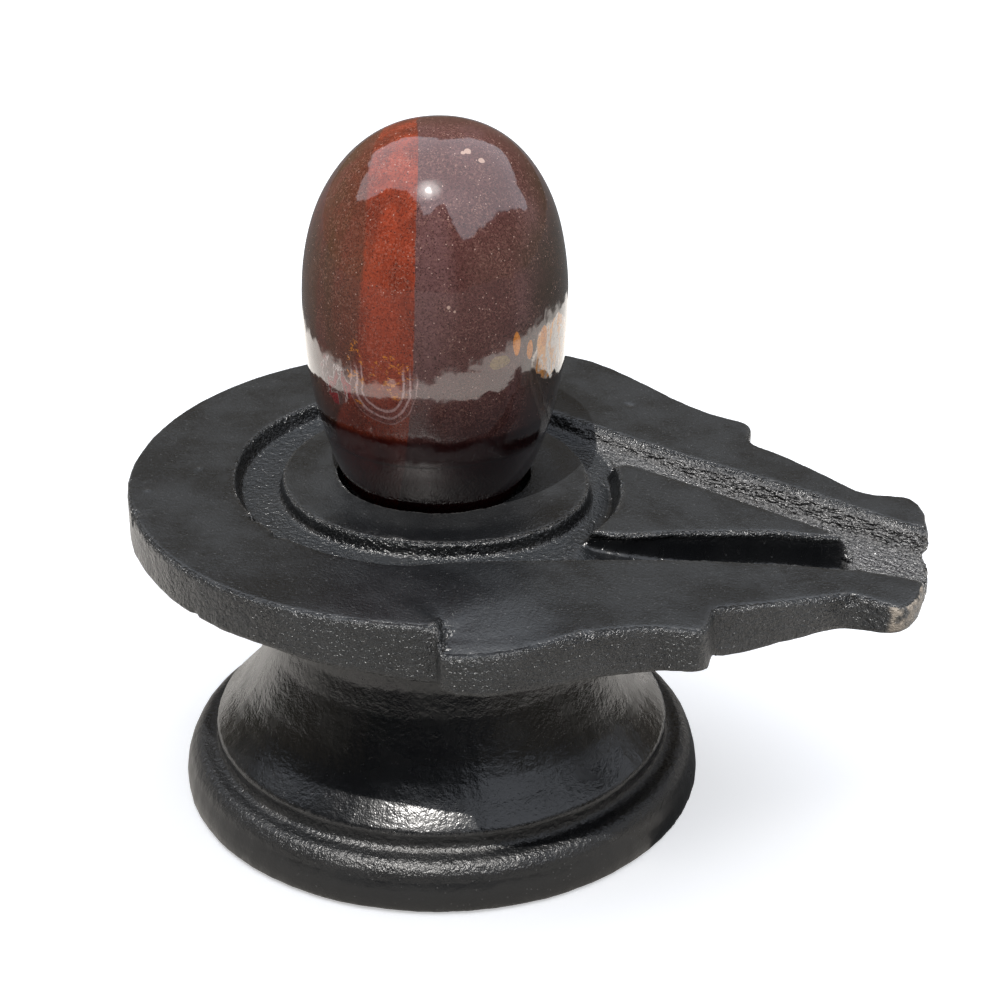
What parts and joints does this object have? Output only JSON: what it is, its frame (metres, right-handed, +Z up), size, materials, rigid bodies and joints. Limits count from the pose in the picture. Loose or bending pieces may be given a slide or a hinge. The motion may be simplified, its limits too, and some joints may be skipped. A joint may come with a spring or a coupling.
{
  "type": "shiva lingam stone on a spouted base",
  "caption": "Polished egg-shaped banded river stone standing in a carved black stone base, whose spouted plate drains poured water through a ring groove and channels.",
  "frame": {"origin": "on the axis of the round foot, at its underside", "axes": "+Z up along the foot's axis, +X along the spout"},
  "size_m": [0.2185, 0.175, 0.1939],
  "materials": {
    "black_stone": "satin, oiled",
    "river_stone": "polished"
  },
  "bodies": {
    "root": {"yoni_base": "black_stone", "lingam_stone": "river_stone"}
  },
  "joints": []
}
